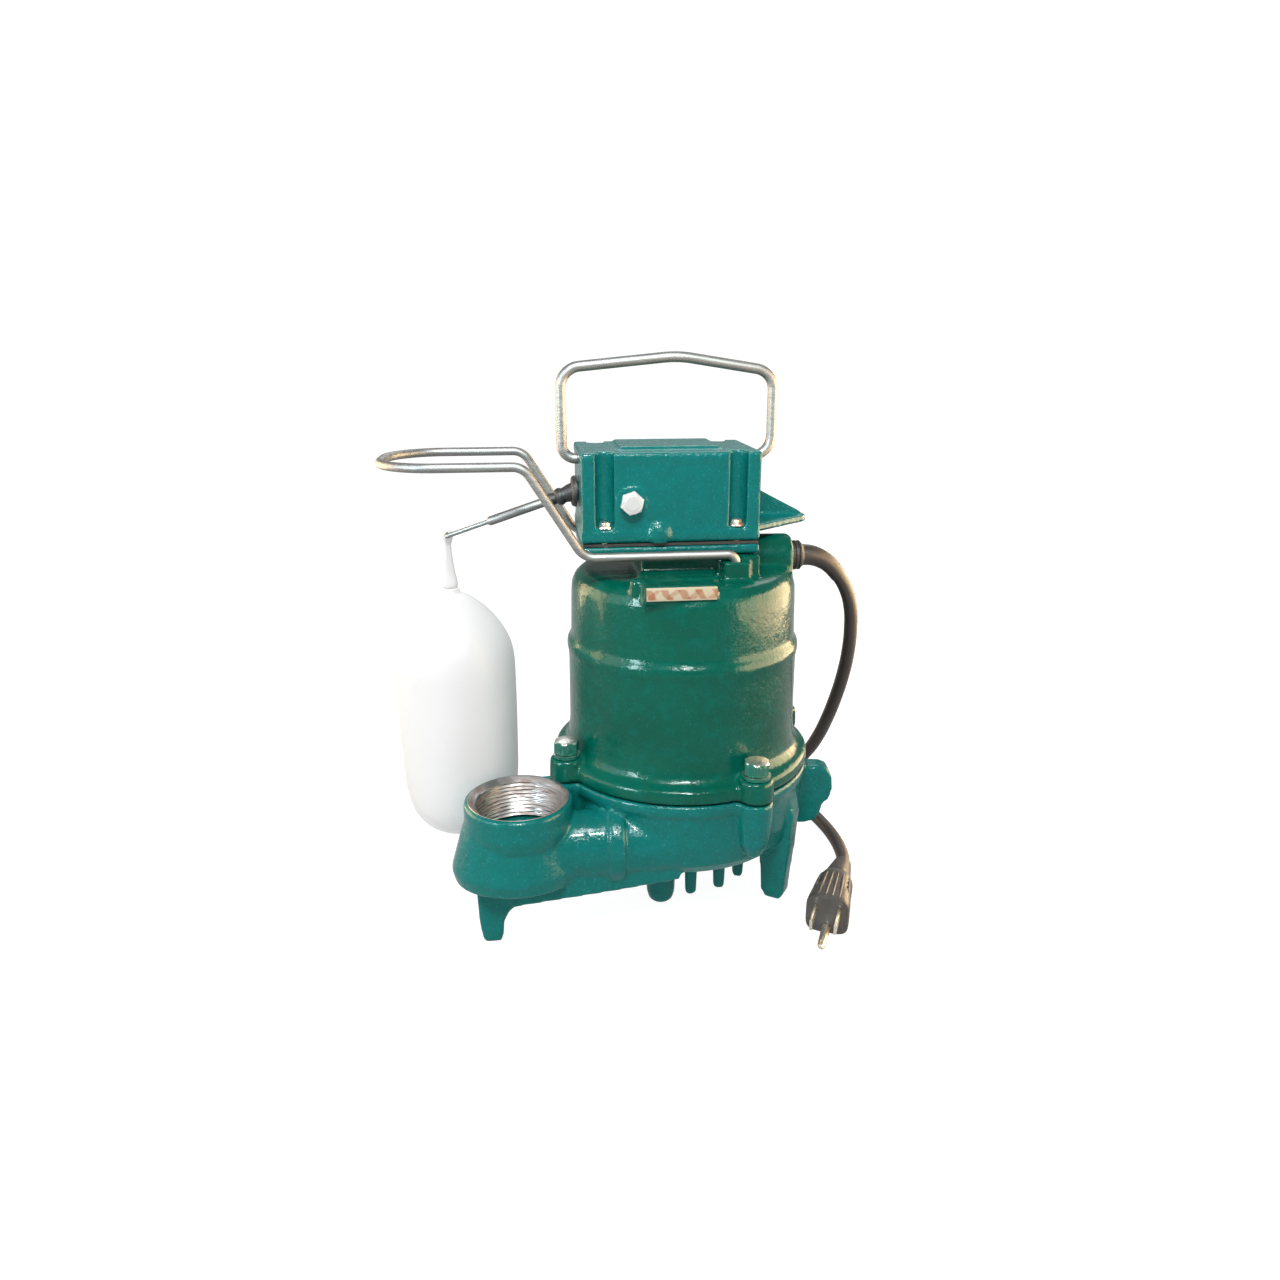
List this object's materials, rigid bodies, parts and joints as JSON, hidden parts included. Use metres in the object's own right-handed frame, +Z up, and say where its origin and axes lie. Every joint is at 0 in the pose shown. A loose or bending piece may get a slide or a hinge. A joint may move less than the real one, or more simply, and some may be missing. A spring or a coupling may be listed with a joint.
{
  "type": "submersible sump pump",
  "caption": "Cast-iron submersible sump pump with a side outlet, tethered float on a guarded arm switch, wire carrying handle and power cord.",
  "frame": {"origin": "centre of the pump's footprint on the floor, measured without the power cord", "axes": "+Z up along the motor shaft, -Y towards the outlet side, -X towards the float, +X towards the cord's exit"},
  "size_m": [0.2691, 0.3079, 0.3039],
  "materials": {
    "green_enamel": "glossy enamel on cast iron",
    "stainless_steel": "satin",
    "black_rubber": "matte",
    "float_plastic": "blow-moulded, slightly translucent",
    "white_nylon": "satin",
    "brass": "bare",
    "copper_winding": "enamelled copper wire, packed solid",
    "steel_laminations": "stacked laminations",
    "machined_iron": "machined",
    "phenolic": "moulded",
    "impeller_plastic": "moulded",
    "carbon": "lapped carbon",
    "ceramic": "lapped ceramic",
    "cream_plate": "blank printed plate"
  },
  "bodies": {
    "pump": {"base_bolt_1": "stainless_steel", "base_bolt_2": "stainless_steel", "base_bolt_3": "stainless_steel", "base_bolt_4": "stainless_steel", "base_seal_ring": "black_rubber", "base_washer_1": "stainless_steel", "base_washer_2": "stainless_steel", "base_washer_3": "stainless_steel", "base_washer_4": "stainless_steel", "bearing_plate": "machined_iron", "boot_ring": "black_rubber", "case_gasket": "black_rubber", "case_screw_1": "stainless_steel", "case_screw_2": "stainless_steel", "case_screw_3": "stainless_steel", "case_screw_4": "stainless_steel", "cord_coil": "black_rubber", "cord_drop": "black_rubber", "cord_gland": "black_rubber", "cord_lead": "phenolic", "cord_run": "black_rubber", "float_guard": "stainless_steel", "lower_bearing": "brass", "lower_winding": "copper_winding", "motor_housing": "green_enamel", "motor_lead": "phenolic", "name_plate": "cream_plate", "nylon_plug": "white_nylon", "plug_blade_left": "brass", "plug_blade_right": "brass", "plug_body": "black_rubber", "plug_ground_pin": "brass", "plug_relief": "black_rubber", "pump_base": "green_enamel", "rocker_pin": "stainless_steel", "seal_seat": "ceramic", "stator_core": "steel_laminations", "strain_relief": "black_rubber", "switch_body": "phenolic", "switch_case": "green_enamel", "switch_plate": "green_enamel", "thermal_overload": "phenolic", "upper_bearing": "brass", "upper_winding": "copper_winding"},
    "rotor": {"rotor_core": "steel_laminations", "motor_shaft": "stainless_steel", "seal_rotor": "carbon", "impeller": "impeller_plastic", "impeller_nut": "brass"},
    "arm": {"float_arm": "stainless_steel", "arm_boot": "black_rubber"},
    "float": {"float": "float_plastic", "float_stem": "float_plastic"},
    "handle": {"handle": "stainless_steel"},
    "rocker": {"switch_rocker": "brass"}
  },
  "joints": [
    {"name": "rotor_spin", "type": "hinge", "parent": "pump", "child": "rotor", "pos_m": [0.0345, -0.00016, 0.11], "axis": [0, 0, 1], "continuous": true},
    {"name": "arm_swing", "type": "hinge", "parent": "pump", "child": "arm", "pos_m": [-0.0241, 0.00224, 0.2324], "axis": [0, 1, 0], "range_deg": [0, 40]},
    {"name": "float_hang", "type": "hinge", "parent": "arm", "child": "float", "pos_m": [-0.0935, 0.00224, 0.2095], "axis": [0, 1, 0], "range_deg": [-40, 0]},
    {"name": "switch_tilt", "type": "hinge", "parent": "pump", "child": "rocker", "pos_m": [0.0165, 0.00224, 0.232], "axis": [0, 1, 0], "range_deg": [-16, 0]},
    {"name": "handle_swing", "type": "hinge", "parent": "pump", "child": "handle", "pos_m": [0.0345, -0.00016, 0.25], "axis": [1, 0, 0], "range_deg": [-90, 90]}
  ],
  "couplings": [
    {"joint": "float_hang", "follows": "arm_swing", "ratio": -1},
    {"joint": "switch_tilt", "follows": "arm_swing", "ratio": -0.4}
  ]
}
